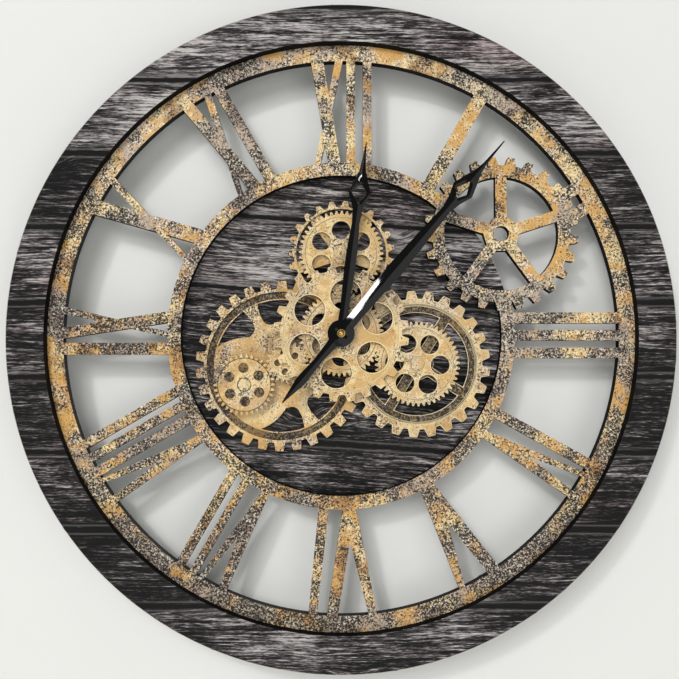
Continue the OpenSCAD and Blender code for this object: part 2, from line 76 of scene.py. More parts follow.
# ---------- places taken from the frame ----------
def span(node):
    """Lowest and highest corner of a CAD node, as arrays in millimetres."""
    low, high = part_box(node)
    return np.array(low) / MM, np.array(high) / MM


def body_of_node(node):
    """The body that a CAD node rides on."""
    return frame["nodes"][node]["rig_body"]


# ---------- mesh helpers ----------
def linked(name, data):
    """A new object in the scene, at the origin."""
    made = bpy.data.objects.new(name, data)
    bpy.context.scene.collection.objects.link(made)
    return made


def new_piece(name, verts, faces, body, material, replaces, smooth=35):
    """A piece from arrays of vertices, in millimetres, and faces. Doubles are merged and faces point out."""
    mesh = bpy.data.meshes.new(name)
    mesh.from_pydata([tuple(v) for v in np.asarray(verts) * MM], [], [tuple(f) for f in faces])
    bm = bmesh.new()
    bm.from_mesh(mesh)
    bmesh.ops.remove_doubles(bm, verts=bm.verts, dist=WELD)
    bmesh.ops.recalc_face_normals(bm, faces=bm.faces)
    bm.to_mesh(mesh)
    bm.free()
    return finish_piece(linked(name, mesh), body, material, replaces, smooth)


def finish_piece(piece, body, material, replaces, smooth=35):
    """Gives a piece its shading, material or materials, body, CAD nodes and material slot."""
    piece.data.shade_smooth()
    piece.data.set_sharp_from_angle(angle=math.radians(smooth))
    piece.data.materials.clear()
    for entry in material if isinstance(material, (list, tuple)) else [material]:
        piece.data.materials.append(entry)
    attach(piece, body)
    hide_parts(*replaces)
    return piece


def face_arrays(mesh):
    """The normal and the centre, in millimetres, of every face."""
    normals, centres = np.empty((2, len(mesh.polygons) * 3))
    mesh.polygons.foreach_get("normal", normals)
    mesh.polygons.foreach_get("center", centres)
    return normals.reshape(-1, 3), centres.reshape(-1, 3) / MM


def mark_faces(mesh, name, values):
    """Keeps one value for each face under a name that the finishes read."""
    mesh.attributes.new(name, "FLOAT", "FACE").data.foreach_set("value", values.astype(np.float32))


def mark_walls(mesh):
    """Gives the second material to every face that doesn't face the front: the walls and the back."""
    normals, _ = face_arrays(mesh)
    mesh.polygons.foreach_set("material_index", (normals[:, 1] > -0.4).astype(np.int32))


def grid_faces(rows, columns, closed_rows=False, closed_columns=False):
    """Quads of a rows x columns grid of vertices, numbered row by row."""
    i = np.arange(rows if closed_rows else rows - 1)[:, None]
    j = np.arange(columns if closed_columns else columns - 1)[None, :]
    a = i * columns + j
    b = i * columns + (j + 1) % columns
    c = ((i + 1) % rows) * columns + (j + 1) % columns
    d = ((i + 1) % rows) * columns + j
    return np.stack([a, b, c, d], -1).reshape(-1, 4)


def turned(name, profile, body, material, replaces, count):
    """A turned piece. The profile is a closed loop of (radius r, height h off the wall), carried round the
    clock's axis in count steps of the angle a: point = (r * cos a, -h, r * sin a)."""
    profile = np.array(profile, float)
    a = np.linspace(0, TURN, count, endpoint=False)[:, None]
    r, h = profile[None, :, 0], np.broadcast_to(profile[None, :, 1], (count, len(profile)))
    verts = np.stack([r * np.cos(a), -h, r * np.sin(a)], -1).reshape(-1, 3)
    return new_piece(name, verts, grid_faces(count, len(profile), True, True), body, material, replaces)


def eased(node, width, material, sunk=None):
    """The CAD node again with its doubles merged and its corners cut. Where `sunk` is given, the attribute
    "sunk" is 1 on front faces lower than `sunk` millimetres off the wall and 0.9 on the piece's sides."""
    mesh = frame["nodes"][node].data.copy()
    piece = linked(node + "_shown", mesh)
    cut_edges(mesh, width)
    finish_piece(piece, body_of_node(node), material, [node])
    if sunk:
        normals, centres = face_arrays(mesh)
        low = (normals[:, 1] < -0.9) & (-centres[:, 1] < sunk)
        mark_faces(mesh, "sunk", np.maximum(low * 1.0, (np.abs(normals[:, 1]) < 0.3) * 0.9))
    return piece


def cut_edges(mesh, width, sharp=32):
    """Joins flat triangles and cuts each edge sharper than `sharp` degrees back by a flat `width`
    millimetres wide. The flats carry 1 in the attribute "edge", where the finishes paint the corners pale:
    some wear and a painted highlight along the cut edges."""
    bm = bmesh.new()
    bm.from_mesh(mesh)
    bmesh.ops.remove_doubles(bm, verts=bm.verts, dist=3 * WELD)
    bmesh.ops.dissolve_limit(bm, angle_limit=math.radians(FLAT_DEG), verts=bm.verts, edges=bm.edges)
    edge_flat = bm.faces.layers.float.new("edge")
    corners = [e for e in bm.edges if e.is_manifold and e.calc_face_angle(0) > math.radians(sharp)]
    cut = bmesh.ops.bevel(bm, geom=corners, offset=width * MM, offset_type="OFFSET", segments=1,
                          profile=0.5, affect="EDGES", clamp_overlap=True)
    for face in cut["faces"]:
        face[edge_flat] = 1.0
    bm.to_mesh(mesh)
    bm.free()


# ---------- node helpers ----------
def rgb(red, green, blue):
    """A screen colour, 0 to 255, as the linear colour that a shader takes, with an alpha of 1."""
    screen = [c / 255 for c in (red, green, blue)]
    return tuple(((c + 0.055) / 1.055) ** 2.4 if c > 0.04 else c / 12.92 for c in screen) + (1.0,)


class Net:
    """Short calls that add nodes to one tree. Each returns an output socket."""

    def __init__(self, tree):
        self.tree = tree

    def add(self, kind, sockets=(), **fields):
        made = self.tree.nodes.new("ShaderNode" + kind)
        for key, value in fields.items():
            setattr(made, key, value)
        for key, value in dict(sockets).items():
            self.feed(made.inputs[key], value)
        return made

    def feed(self, socket, value):
        if isinstance(value, bpy.types.NodeSocket):
            self.tree.links.new(value, socket)
        else:
            socket.default_value = value

    def math(self, operation, *values):
        return self.add("Math", enumerate(values), operation=operation).outputs[0]

    def times(self, first, second):
        return self.math("MULTIPLY", first, second)

    def ease(self, value, low, high):
        """0 at low, 1 at high, smooth between and level beyond; low may be the larger."""
        limits = (high, low, 1.0, 0.0) if low > high else (low, high, 0.0, 1.0)
        sockets = {"Value": value, **dict(zip(("From Min", "From Max", "To Min", "To Max"), limits))}
        return self.add("MapRange", sockets, interpolation_type="SMOOTHSTEP").outputs["Result"]

    def mix(self, share, first, second, blend="MIX"):
        """The first colour, or the second one by its share; the colour sockets are 6, 7 and 2."""
        made = self.add("Mix", [(0, share), (6, first), (7, second)], data_type="RGBA", blend_type=blend)
        return made.outputs[2]

    def noise(self, where, scale, detail=2.0, rough=0.5, warp=0.0):
        return self.add("TexNoise", {"Vector": where, "Scale": scale, "Detail": detail,
                                     "Roughness": rough, "Distortion": warp}).outputs["Fac"]

    def spots(self, where, scale):
        """The distance to the nearest of many scattered points."""
        return self.add("TexVoronoi", {"Vector": where, "Scale": scale}).outputs["Distance"]

    def scaled(self, where, x, y, z, shift=(0, 0, 0)):
        return self.add("Mapping", {"Vector": where, "Scale": (x, y, z), "Location": shift}).outputs[0]

    def moved(self, where, *shift):
        return self.scaled(where, 1, 1, 1, shift)

    def height(self, where):
        """How high up Z a place is."""
        return self.add("SeparateXYZ", {0: where}).outputs["Z"]

    def ramp(self, value, stops):
        made = self.add("ValToRGB", {"Fac": value})
        ramp = made.color_ramp
        while len(ramp.elements) < len(stops):
            ramp.elements.new(0.5)
        for element, (place, colour) in zip(ramp.elements, stops):
            element.position, element.color = place, colour
        return made.outputs["Color"]

    def attribute(self, name):
        return self.add("Attribute", attribute_name=name).outputs["Fac"]


def group(name, inputs, outputs):
    """An empty shader group. inputs are (name, kind, value) and outputs (name, kind)."""
    tree = bpy.data.node_groups.new(name, "ShaderNodeTree")
    for label, kind, value in inputs:
        socket = tree.interface.new_socket(name=label, in_out="INPUT", socket_type="NodeSocket" + kind)
        if value is not None:
            socket.default_value = value
    for label, kind in outputs:
        tree.interface.new_socket(name=label, in_out="OUTPUT", socket_type="NodeSocket" + kind)
    return tree, Net(tree), tree.nodes.new("NodeGroupInput").outputs, tree.nodes.new("NodeGroupOutput").inputs


# ---------- shared effects ----------
def plank_effect():
    """Sawn planks that run along X: joints a pitch apart up Z, wavy grain, fibres, cracks and knots."""
    tree, net, given, out = group(
        "sawn_planks",
        [("Vector", "Vector", None), ("Pitch", "Float", 0.067), ("Offset", "Float", 0.0),
         ("Light", "Float", 0.0)],
        [("Color", "Color"), ("Height", "Float"), ("Roughness", "Float")])
    place = given["Vector"]
    black, pale_lip, red_brown = rgb(7, 6, 7), rgb(190, 184, 180), rgb(206, 170, 172)

    # which plank a place is on, and how far it is from the nearest joint, in metres
    wave = net.noise(net.scaled(place, 9, 1, 20), 1.0, 2.0, 0.5)
    wobble = net.math("MULTIPLY_ADD", wave, 0.006, -0.003)
    axes = net.add("SeparateXYZ", {0: place}).outputs
    across = net.math("ADD", axes["Z"], net.times(wobble, 0.5))
    rows = net.math("DIVIDE", net.math("SUBTRACT", across, given["Offset"]), given["Pitch"])
    row = net.math("FLOOR", rows)
    part = net.math("SUBTRACT", rows, row)
    to_joint = net.times(net.math("MINIMUM", part, net.math("SUBTRACT", 1.0, part)), given["Pitch"])

    # the joint is black, its shade fades 13 mm out, and a pale lip runs between 2.6 and 5 mm
    joint = net.ease(to_joint, 0.0026, 0.0015)
    shade = net.ease(to_joint, 0.013, 0.002)
    lip = net.times(net.ease(to_joint, 0.0026, 0.0032), net.ease(to_joint, 0.005, 0.0036))

    # each plank has its own number, which shifts its grain; the grain bends round knots
    own = net.add("TexWhiteNoise", {"W": row}, noise_dimensions="1D").outputs["Value"]
    spot = net.spots(net.scaled(place, 1.0, 1.0, 1.9), 6.5)
    knot = net.ease(spot, 0.26, 0.0)
    bent = net.math("ADD", net.math("ADD", axes["Z"], net.times(wobble, 1.7)), net.times(knot, 0.012))
    along = net.math("ADD", axes["X"], net.times(own, 37.0))
    lie = net.add("CombineXYZ", {"X": along, "Y": own, "Z": bent}).outputs[0]
    grain = net.noise(net.scaled(lie, 24, 3, 560), 1.0, 5.0, 0.76, 0.4)
    streak = net.noise(net.scaled(lie, 12, 3, 120), 1.0, 4.0, 0.65, 0.8)
    fibre = net.noise(net.scaled(lie, 150, 3, 1500), 1.0, 2.0, 0.7)
    cloud = net.noise(net.scaled(place, 1, 1, 2.2), 12.0, 3.0, 0.6)

    # the tone sums them, each about its middle and by its weight
    tone = net.times(net.math("ADD", streak, -0.5), 0.9)
    for layer, weight in ((grain, 2.5), (fibre, 1.3), (cloud, 1.0)):
        tone = net.math("MULTIPLY_ADD", net.math("ADD", layer, -0.5), weight, tone)
    tone = net.math("ADD", net.math("MULTIPLY_ADD", net.math("ADD", own, -0.5), 0.5, net.times(tone, 1.6)),
                    net.math("ADD", given["Light"], 0.41))
    colour = net.ramp(tone, [
        (0.04, rgb(9, 8, 9)), (0.22, rgb(29, 27, 28)), (0.42, rgb(64, 60, 60)),
        (0.58, rgb(102, 96, 96)), (0.78, rgb(146, 140, 139)), (1.0, rgb(196, 191, 188))])
    tint = net.noise(net.scaled(place, 3, 1, 14, (2, 0, 5)), 1.0, 2.0)
    colour = net.mix(net.times(net.ease(tint, 0.52, 0.7), 0.4), colour, red_brown, "MULTIPLY")

    # cracks, the hearts of knots and the joints go dark
    crack = net.ease(net.noise(net.scaled(lie, 11, 4, 210, (5, 1, 3)), 1.0, 3.0, 0.6, 0.4), 0.385, 0.34)
    dark = net.math("MAXIMUM", net.math("MAXIMUM", net.times(shade, 0.6), net.times(crack, 0.85)),
                    net.times(net.ease(spot, 0.07, 0.02), 0.8))
    colour = net.mix(net.times(lip, 0.3), colour, pale_lip)
    net.feed(out["Color"], net.mix(net.math("MAXIMUM", dark, joint), colour, black))
    cuts = net.math("MAXIMUM", joint, net.times(crack, 0.5))
    net.feed(out["Height"], net.math("SUBTRACT", tone, cuts))
    net.feed(out["Roughness"], net.math("MULTIPLY_ADD", grain, -0.2, 0.78))
    return tree


def leaf_effect():
    """Sponged paint: a base colour with silver and rust patches, all under dark and pale flecks."""
    tree, net, given, out = group(
        "sponged_flecks",
        [("Vector", "Vector", None), ("Base", "Color", rgb(214, 176, 108)),
         ("Pale", "Color", rgb(240, 224, 186)), ("Dark", "Color", rgb(34, 28, 26)),
         ("Silver", "Float", 1.0), ("Rust", "Float", 1.0), ("Flecks", "Float", 0.0),
         ("Fleck scale", "Float", 620.0)],
        [("Color", "Color"), ("Height", "Float"), ("Flecks", "Float")])
    place, size = given["Vector"], given["Fleck scale"]
    rusty, silvery, bright, halo = rgb(166, 122, 74), rgb(178, 176, 176), rgb(255, 250, 236), rgb(120, 88, 60)

    # patches a few centimetres wide, and two layers of flecks
    broad = net.noise(place, 17.0, 4.0, 0.62)
    other = net.noise(net.moved(place, 3.1, 1.7, 0.4), 22.0, 4.0, 0.62)
    dense = net.noise(net.moved(place, 0.3, 2.2, 7.4), 46.0, 3.0, 0.6)
    fine = net.noise(place, size, 3.0, 0.8, 0.6)
    fine_b = net.noise(net.moved(place, 0.5, 0.2, 0.9), size, 3.0, 0.8, 0.6)
    smudge = net.noise(net.moved(place, 1.9, 0.2, 5.5), 7.0, 2.0, 0.5)
    patch = net.ease(net.noise(net.moved(place, 6.3, 4.2, 0.7), 38.0, 3.0, 0.6), 0.42, 0.62)
    silver = net.times(net.ease(broad, 0.48, 0.58), given["Silver"])
    rust = net.times(net.ease(other, 0.53, 0.63), given["Rust"])
    colour = net.mix(net.ease(dense, 0.44, 0.60), given["Base"], given["Pale"])
    colour = net.mix(net.times(rust, 0.8), colour, rusty)
    colour = net.mix(net.times(silver, 0.85), colour, silvery)
    pale = net.ease(net.math("MULTIPLY_ADD", patch, 0.16, fine_b), 0.60, 0.66)
    colour = net.mix(net.times(pale, net.math("MULTIPLY_ADD", given["Silver"], 0.7, 0.2)), colour, bright)

    # a place is a dark fleck where the fine noise is under a level that the patches raise or lower
    level = net.math("ADD", net.math("MULTIPLY_ADD", dense, 0.30, 0.28), given["Flecks"])
    level = net.math("ADD", level, net.math("MULTIPLY_ADD", silver, 0.07, net.times(rust, 0.05)))
    level = net.math("ADD", level, net.math("MULTIPLY_ADD", smudge, 0.2, -0.1))
    level = net.math("MULTIPLY_ADD", patch, 0.09, net.math("SUBTRACT", level, 0.045))
    level = net.math("MINIMUM", level, 0.53)
    gap = net.math("SUBTRACT", fine, level)
    flecks = net.math("SUBTRACT", 1.0, net.ease(gap, -0.015, 0.02))
    half = net.math("SUBTRACT", 1.0, net.ease(gap, 0.0, 0.1))
    colour = net.mix(net.times(half, 0.5), colour, halo)
    net.feed(out["Color"], net.mix(net.times(flecks, 0.95), colour, given["Dark"]))
    net.feed(out["Height"], net.math("MULTIPLY_ADD", fine_b, 0.6, net.times(flecks, -0.6)))
    net.feed(out["Flecks"], flecks)
    return tree


def rub_and_highlight_effect():
    """Corners painted bright, partly wear and partly a painted highlight along the edges: the "edge"
    attribute of a piece, broken up by noise.
    """
    tree, net, given, out = group(
        "corners_scuffed_and_highlit",
        [("Vector", "Vector", None), ("Color", "Color", rgb(128, 128, 128)),
         ("Rubbed", "Color", rgb(240, 226, 192)), ("Amount", "Float", 1.0)],
        [("Color", "Color"), ("Mask", "Float")])
    broken = net.ease(net.noise(given["Vector"], 160.0, 3.0, 0.6), 0.22, 0.46)
    mask = net.times(net.times(net.attribute("edge"), broken), given["Amount"])
    net.feed(out["Color"], net.mix(mask, given["Color"], given["Rubbed"]))
    net.feed(out["Mask"], mask)
    return tree


def moulding_effect():
    """Spark-textured moulding: fine pits, flow clouds and a little dust."""
    tree, net, given, out = group(
        "moulded_skin",
        [("Vector", "Vector", None), ("Base", "Color", rgb(36, 36, 38)), ("Lift", "Color", rgb(60, 60, 62)),
         ("Pit scale", "Float", 1500.0)],
        [("Color", "Color"), ("Height", "Float"), ("Roughness", "Float")])
    place = given["Vector"]
    pits = net.noise(place, given["Pit scale"], 2.0, 0.6)
    cloud = net.noise(place, 24.0, 4.0, 0.6)
    dust = net.times(net.ease(net.noise(place, 700.0, 2.0, 0.7), 0.62, 0.72), net.ease(cloud, 0.45, 0.7))
    colour = net.mix(net.times(net.ease(cloud, 0.3, 0.75), 0.5), given["Base"], given["Lift"])
    net.feed(out["Color"], net.mix(net.times(dust, 0.4), colour, rgb(150, 146, 140)))
    net.feed(out["Height"], pits)
    rough = net.math("MULTIPLY_ADD", cloud, 0.15, 0.3)
    net.feed(out["Roughness"], net.math("MULTIPLY_ADD", pits, 0.25, rough))
    return tree


def tarnish_effect():
    """Worked metal: fine drawn lines across Z and clouds of tarnish."""
    tree, net, given, out = group(
        "worked_metal",
        [("Vector", "Vector", None), ("Clean", "Color", rgb(200, 200, 204)),
         ("Tarnish", "Color", rgb(120, 116, 112)), ("Amount", "Float", 0.5)],
        [("Color", "Color"), ("Height", "Float"), ("Roughness", "Float")])
    place = given["Vector"]
    lines = net.noise(net.scaled(place, 60, 60, 4200), 1.0, 2.0, 0.6)
    cloud = net.noise(place, 140.0, 4.0, 0.65)
    stain = net.times(net.ease(cloud, 0.42, 0.7), given["Amount"])
    net.feed(out["Color"], net.mix(stain, given["Clean"], given["Tarnish"]))
    net.feed(out["Height"], lines)
    rough = net.math("MULTIPLY_ADD", lines, 0.12, 0.18)
    net.feed(out["Roughness"], net.math("MULTIPLY_ADD", stain, 0.3, rough))
    return tree


EFFECTS = {"planks": plank_effect(), "leaf": leaf_effect(), "rub_and_highlight": rub_and_highlight_effect(),
           "moulding": moulding_effect(), "tarnish": tarnish_effect()}


def finish_of(name, build, **sockets):
    """A material: build(net, place) returns what feeds the Principled shader's sockets, and the
    keyword values are set on its own sockets."""
    made = bpy.data.materials.new(name)
    made.use_nodes = True
    net = Net(made.node_tree)
    shader = made.node_tree.nodes["Principled BSDF"]
    for key, value in sockets.items():
        shader.inputs[key.replace("_", " ")].default_value = value
    place = net.add("TexCoord").outputs["Object"]
    for key, value in build(net, place).items():
        net.feed(shader.inputs[key], value)
    return made


def effect(net, key, **sockets):
    """A shared effect placed in a material with its own values; an underscore stands for a space."""
    made = net.add("Group", (), node_tree=EFFECTS[key])
    for name, value in sockets.items():
        net.feed(made.inputs[name.replace("_", " ")], value)
    return made.outputs


def bump(net, height, strength, depth_mm):
    """A normal that tilts as if the height, 0 to 1, were depth_mm deep."""
    made = net.add("Bump", {"Height": height, "Strength": strength, "Distance": depth_mm * MM})
    return made.outputs["Normal"]


# ---------- finishes ----------
def planks(offset, pitch, tilt_deg, light, painted_sheen_up):
    """Printed planks: the joints' offset and pitch in metres, their tilt, how light the print is at the
    axis and how much lighter it gets for each metre up, a painted sheen that lightens the top."""
    def build(net, place):
        lie = net.add("Mapping", {"Vector": place, "Rotation": (0, math.radians(tilt_deg), 0)}).outputs[0]
        # painted sheen: the print gets lighter for each metre up
        shade = net.math("MULTIPLY_ADD", net.height(place), painted_sheen_up, light)
        wood = effect(net, "planks", Vector=lie, Offset=offset, Pitch=pitch, Light=shade)
        # corners painted pale: wear and a painted highlight
        rubbed_and_highlit = effect(net, "rub_and_highlight", Vector=place, Color=wood["Color"], Rubbed=rgb(214, 208, 200), Amount=0.85)
        return {"Base Color": rubbed_and_highlit["Color"], "Roughness": wood["Roughness"],
                "Normal": bump(net, wood["Height"], 0.35, 0.5)}
    return build


def flecked(base, pale, dark, silver, rust, flecks, scale, rubbed_and_highlit, lower=0.0):
    """Sponged gold: flecks raises how many dark flecks there are, and lower adds more of them for each
    metre down, a painted shade towards the bottom. Sunk faces get more dark flecks, and sunk faces and
    sides a brown-black painted shade."""
    def build(net, place):
        sunk = net.attribute("sunk")
        # painted shade: more dark flecks for each metre down, so the board darkens towards the bottom
        level = net.math("MULTIPLY_ADD", net.height(place), -lower, flecks)
        paint = effect(net, "leaf", Vector=place, Base=base, Pale=pale, Dark=dark, Silver=silver, Rust=rust,
                       Flecks=net.math("MULTIPLY_ADD", sunk, 0.12, level), Fleck_scale=scale)
        # painted shade in the recesses: sunk faces and sides are mixed towards brown-black
        recess_shaded = net.mix(net.times(sunk, 0.6), paint["Color"], rgb(36, 27, 20))
        # corners painted pale: wear and a painted highlight along the edges
        worn_and_highlit = effect(net, "rub_and_highlight", Vector=place, Color=recess_shaded, Rubbed=rubbed_and_highlit, Amount=1.0)
        rough = net.math("MULTIPLY_ADD", paint["Flecks"], 0.25, 0.42)
        return {"Base Color": worn_and_highlit["Color"], "Roughness": rough,
                "Normal": bump(net, paint["Height"], 0.3, 0.15)}
    return build


def moulded(base, lift, pit_scale=1500.0, depth=0.04):
    """Moulded plastic or rubber, with pits depth millimetres deep."""
    def build(net, place):
        skin = effect(net, "moulding", Vector=place, Base=base, Lift=lift, Pit_scale=pit_scale)
        worn_and_highlit = effect(net, "rub_and_highlight", Vector=place, Color=skin["Color"], Rubbed=lift, Amount=0.6)
        return {"Base Color": worn_and_highlit["Color"], "Roughness": skin["Roughness"],
                "Normal": bump(net, skin["Height"], 0.35, depth)}
    return build


def metal(clean, tarnish, amount):
    """Worked metal, stained by the amount of tarnish."""
    def build(net, place):
        worked = effect(net, "tarnish", Vector=place, Clean=clean, Tarnish=tarnish, Amount=amount)
        worn_and_highlit = effect(net, "rub_and_highlight", Vector=place, Color=worked["Color"], Rubbed=clean, Amount=0.7)
        return {"Base Color": worn_and_highlit["Color"], "Roughness": worked["Roughness"],
                "Normal": bump(net, worked["Height"], 0.12, 0.02)}
    return build


def lacquer(net, place):
    """Gloss black: faint orange peel and dust, with thin spots of bronze on the corners."""
    peel = net.noise(place, 260.0, 2.0, 0.5)
    dust = net.ease(net.noise(place, 1400.0, 2.0, 0.7), 0.64, 0.74)
    colour = net.mix(net.times(dust, 0.03), rgb(4, 4, 5), rgb(120, 118, 115))
    worn_and_highlit = effect(net, "rub_and_highlight", Vector=place, Color=colour, Rubbed=rgb(120, 92, 70), Amount=0.75)
    return {"Base Color": worn_and_highlit["Color"], "Roughness": net.math("MULTIPLY_ADD", peel, 0.06, 0.05),
            "Normal": bump(net, peel, 0.05, 0.05)}


def cut_face(net, place):
    """The sawn edge of a board, painted black: layers along Y and saw marks."""
    saw = net.noise(net.scaled(place, 260, 900, 260), 1.0, 3.0, 0.6)
    colour = net.mix(net.ease(saw, 0.45, 0.7), rgb(4, 4, 5), rgb(18, 16, 16))
    return {"Base Color": colour, "Roughness": net.math("MULTIPLY_ADD", saw, 0.3, 0.65),
            "Normal": bump(net, saw, 0.4, 0.1)}


def jacket(net, place):
    """A cell: its steel ends where the "metal" attribute is 1, and a printed two-tone jacket between."""
    ends = net.attribute("metal")
    band = net.attribute("band")
    cloud = net.noise(place, 60.0, 3.0, 0.6)
    blue = net.mix(cloud, rgb(20, 60, 104), rgb(34, 84, 134))
    colour = net.mix(band, blue, rgb(196, 150, 70))
    colour = net.mix(ends, colour, rgb(190, 190, 194))
    return {"Base Color": colour, "Metallic": net.math("MAXIMUM", ends, net.times(band, 0.8)),
            "Roughness": net.math("MULTIPLY_ADD", cloud, 0.2, 0.2), "Normal": bump(net, cloud, 0.05, 0.05)}


def windings(net, place):
    """Copper wire: a sine up Z raises a turn every 0.52 mm."""
    turns = net.math("SINE", net.times(net.height(place), 12000.0))
    mottle = net.noise(place, 500.0, 2.0, 0.6)
    return {"Base Color": net.mix(mottle, rgb(168, 84, 38), rgb(206, 122, 62)),
            "Roughness": net.math("MULTIPLY_ADD", mottle, 0.2, 0.25), "Normal": bump(net, turns, 0.5, 0.08)}


# the last number given to planks lightens a board for each metre up: painted sheen
ring_wood = finish_of("plank_ring", planks(0.0286, 0.0672, 0.0, -0.03, 0.28), Specular_IOR_Level=0.35)
disc_wood = finish_of("plank_disc", planks(0.0355, 0.0675, -4.2, 0.1, 0.12), Specular_IOR_Level=0.35)
gold_leaf = finish_of("gold_board", flecked(
    rgb(216, 168, 96), rgb(246, 222, 170), rgb(9, 7, 7), silver=0.75, rust=1.0, flecks=0.044, scale=560.0,
    rubbed_and_highlit=rgb(250, 226, 176), lower=0.14), Specular_IOR_Level=0.5)
gear_cream = finish_of("gear_cream", flecked(
    rgb(212, 172, 108), rgb(240, 212, 156), rgb(26, 18, 13), silver=0.3, rust=0.6, flecks=-0.018, scale=600.0,
    rubbed_and_highlit=rgb(255, 240, 198)), Specular_IOR_Level=0.5)
black_cut = finish_of("cut_black", cut_face, Specular_IOR_Level=0.15)
gloss_black = finish_of("gloss_black", lacquer, Specular_IOR_Level=0.24)
case_black = finish_of("case_black", moulded(rgb(27, 27, 29), rgb(50, 50, 53)))
knob_grey = finish_of("knob_grey", moulded(rgb(44, 44, 47), rgb(74, 74, 78), 1100.0))
pad_rubber = finish_of("pad_rubber", moulded(rgb(38, 37, 37), rgb(66, 64, 63), 700.0, 0.1))
acetal = finish_of("acetal_white", moulded(rgb(222, 220, 212), rgb(240, 239, 234), 900.0, 0.02))
turned_brass = finish_of("turned_brass", metal(rgb(224, 186, 108), rgb(150, 112, 58), 0.55), Metallic=1.0)
plated_steel = finish_of("plated_steel", metal(rgb(206, 207, 210), rgb(136, 132, 126), 0.4), Metallic=1.0)
cell_skin = finish_of("cell_jacket", jacket, Coat_Weight=0.4, Coat_Roughness=0.1)
coil_wire = finish_of("coil_wire", windings, Metallic=0.9)
board_mask = finish_of("board_mask", moulded(rgb(22, 82, 44), rgb(40, 118, 66), 500.0), Coat_Weight=0.5)

# ---------- boards ----------
RING_BORE, RING_CORNER, BORE_CORNER = 265.5, 0.7, 0.42
ROUND = 360  # sides of the largest circles


def plank_ring():
    """The dark ring: a rectangular profile with its two front corners cut at 45 degrees, carried round the
    axis. The outer corner is painted pale, partly wear and partly a painted highlight; the walls, the
    bore's corner and the back are black."""
    low, high = span("outer_ring")
    outer, back, front = high[0], -high[1], -low[1]
    profile = [(RING_BORE, back), (outer, back), (outer, front - RING_CORNER), (outer - RING_CORNER, front),
               (RING_BORE + BORE_CORNER, front), (RING_BORE, front - BORE_CORNER)]
    skins = [ring_wood, black_cut]
    mesh = turned("plank_ring", profile, "frame", skins, ["outer_ring"], ROUND).data
    normals, centres = face_arrays(mesh)
    across = -normals[:, 1]
    outside = np.hypot(centres[:, 0], centres[:, 2]) > (outer + RING_BORE) / 2
    # the outer corner, painted pale: wear and a painted highlight
    rubbed_and_highlit = (across > 0.3) & (across < 0.95) & outside
    mark_faces(mesh, "edge", rubbed_and_highlit)
    mesh.polygons.foreach_set("material_index", ((across < 0.95) & ~rubbed_and_highlit).astype(np.int32))


plank_ring()

mark_walls(eased("centre_disc", 0.2, [disc_wood, black_cut]).data)

# ---------- numeral plate: one sawn board ----------
RIM_R, OPENING_R, INNER_R, INNER_BORE = 285.0, 251.0, 157.0, 145.0
GEAR_OUT, GEAR_CLOCKWISE = 172, math.radians(57.8)  # the five-spoke gear's axis, from the clock's
GEAR_AXIS = np.array([GEAR_OUT * math.sin(GEAR_CLOCKWISE), GEAR_OUT * math.cos(GEAR_CLOCKWISE)])
GEAR_ROOT, GEAR_TIP, GEAR_BORE, HUB_R, PIN_R = 62.8, 70.2, 51.8, 16.4, 7
GEAR_TEETH, TOOTH_ROOT_W, TOOTH_TIP_W, FIRST_TOOTH = 25, 9.6, 6, 9.9
SPOKES, SPOKE_HALF_W, SPOKE_LENGTH = 5, 5.15, 54
PLATE_CORNER = 0.55
HOUR_TURN = 30  # degrees from one numeral to the next
BOTTOM, TOP = INNER_R - 2, OPENING_R + 3  # the strokes' ends, inside the inner ring and the rim


def circle(radius, count, centre=(0, 0)):
    """count points on a circle."""
    a = np.arange(count) * TURN / count
    return np.stack([centre[0] + radius * np.cos(a), centre[1] + radius * np.sin(a)], -1)


def turned_by(points, degrees):
    """Points turned anticlockwise about the origin."""
    c, s = math.cos(math.radians(degrees)), math.sin(math.radians(degrees))
    return np.asarray(points, float) @ np.array([[c, s], [-s, c]])


def inside(outline, points):
    """True where a point lies in the outline, by counting the sides that a ray along +x crosses."""
    a, b = outline, np.roll(outline, -1, 0)
    px, py = points[:, None, 0], points[:, None, 1]
    spans = (a[None, :, 1] > py) != (b[None, :, 1] > py)
    rise = np.where(b[:, 1] == a[:, 1], 1e-12, b[:, 1] - a[:, 1])
    at = a[None, :, 0] + (py - a[None, :, 1]) * (b[:, 0] - a[:, 0])[None] / rise[None]
    return (np.sum(spans & (px < at), 1) % 2).astype(bool)


def stroke(x_out, x_in, w_out, w_in):
    """A straight stroke from the inner ring, w_in wide at x_in, to the rim, w_out wide at x_out."""
    return [[x_in - w_in / 2, BOTTOM], [x_in + w_in / 2, BOTTOM],
            [x_out + w_out / 2, TOP], [x_out - w_out / 2, TOP]]


def bar(x, width):
    """An upright stroke, the same width all along."""
    return stroke(x, x, width, width)


def ex(thick_out, thick_in, thick_w, thin_out, thin_in):
    """The two strokes of an X: an even thick one and a thin one that widens outwards."""
    return [stroke(thick_out, thick_in, thick_w, thick_w), stroke(thin_out, thin_in, 7, 5)]


def vee(out, base, notch_out, notch):
    """The outline of a V and, apart, the notch between its strokes, which runs out past the opening."""
    outline = [[base[0], BOTTOM], [base[1], BOTTOM], [out[1], TOP], [out[0], TOP]]
    near, far = OPENING_R + 0.5, OPENING_R + 9
    gap = [notch, [notch_out[1], near], [notch_out[1], far], [notch_out[0], far], [notch_out[0], near]]
    return outline, gap


